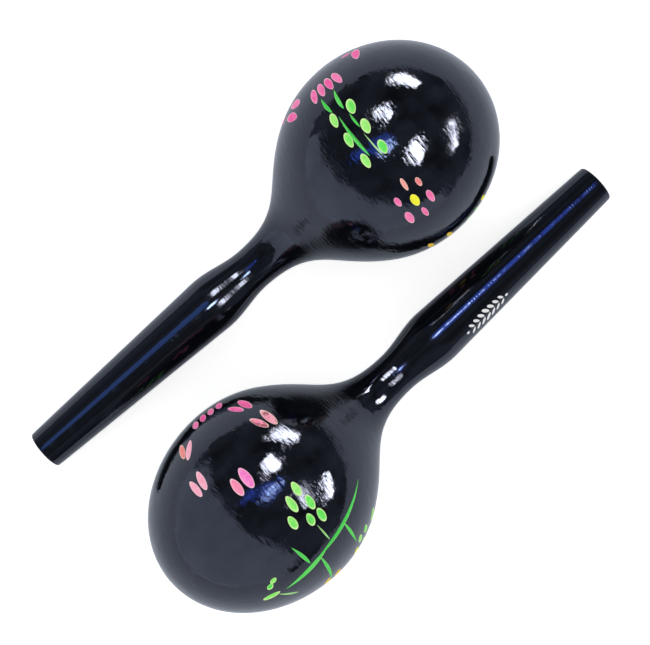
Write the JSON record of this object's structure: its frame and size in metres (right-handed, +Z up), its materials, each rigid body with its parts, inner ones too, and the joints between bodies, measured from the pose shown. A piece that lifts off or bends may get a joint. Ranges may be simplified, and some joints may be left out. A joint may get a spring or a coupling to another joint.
{
  "type": "pair of maracas",
  "caption": "Pair of black lacquered wooden maracas with hollow round heads, loose pellets inside, tapered handles and small painted floral cuts.",
  "frame": {"origin": "on the table, at the centre of the pair's footprint, midway between the two maracas as they lie head to tail", "axes": "+Z up from the table; +X along the instruments, towards the head of maraca 1 and the handle end of maraca 2; +Y across, towards maraca 1"},
  "size_m": [0.2706, 0.1734, 0.0955],
  "materials": {
    "black_lacquer": "hardwood under a thick gloss black lacquer, with small gouged petals painted pink, green and yellow",
    "pellet": "dry round seeds, matt"
  },
  "bodies": {
    "maraca_1": {"crown_shell_1": "black_lacquer", "neck_shell_1": "black_lacquer", "handle_1": "black_lacquer"},
    "pellets_crown_side_1": {"pellets_crown_side_1": "pellet"},
    "pellets_middle_1": {"pellets_middle_1": "pellet"},
    "pellets_neck_side_1": {"pellets_neck_side_1": "pellet"},
    "maraca_2": {"crown_shell_2": "black_lacquer", "neck_shell_2": "black_lacquer", "handle_2": "black_lacquer"},
    "pellets_crown_side_2": {"pellets_crown_side_2": "pellet"},
    "pellets_middle_2": {"pellets_middle_2": "pellet"},
    "pellets_neck_side_2": {"pellets_neck_side_2": "pellet"}
  },
  "joints": [
    {"name": "lift_maraca_2", "type": "slide", "parent": "maraca_1", "child": "maraca_2", "axis": [0, 0, 1], "range_m": [0, 0.3]},
    {"name": "swirl_crown_side_1", "type": "hinge", "parent": "maraca_1", "child": "pellets_crown_side_1", "pos_m": [0.07268, 0.0392, 0.0477], "axis": [0.9828, -0.0197, 0.1837], "continuous": true},
    {"name": "swirl_neck_side_1", "type": "hinge", "parent": "maraca_1", "child": "pellets_neck_side_1", "pos_m": [0.07268, 0.0392, 0.0477], "axis": [0.9828, -0.0197, 0.1837], "continuous": true},
    {"name": "toss_middle_1", "type": "slide", "parent": "maraca_1", "child": "pellets_middle_1", "axis": [-0.1837, 0.0037, 0.983], "range_m": [0, 0.06]},
    {"name": "swirl_crown_side_2", "type": "hinge", "parent": "maraca_2", "child": "pellets_crown_side_2", "pos_m": [-0.07268, -0.0392, 0.0477], "axis": [-0.9828, -0.0197, 0.1837], "continuous": true},
    {"name": "swirl_neck_side_2", "type": "hinge", "parent": "maraca_2", "child": "pellets_neck_side_2", "pos_m": [-0.07268, -0.0392, 0.0477], "axis": [-0.9828, -0.0197, 0.1837], "continuous": true},
    {"name": "toss_middle_2", "type": "slide", "parent": "maraca_2", "child": "pellets_middle_2", "axis": [0.1837, 0.0037, 0.983], "range_m": [0, 0.06]}
  ]
}
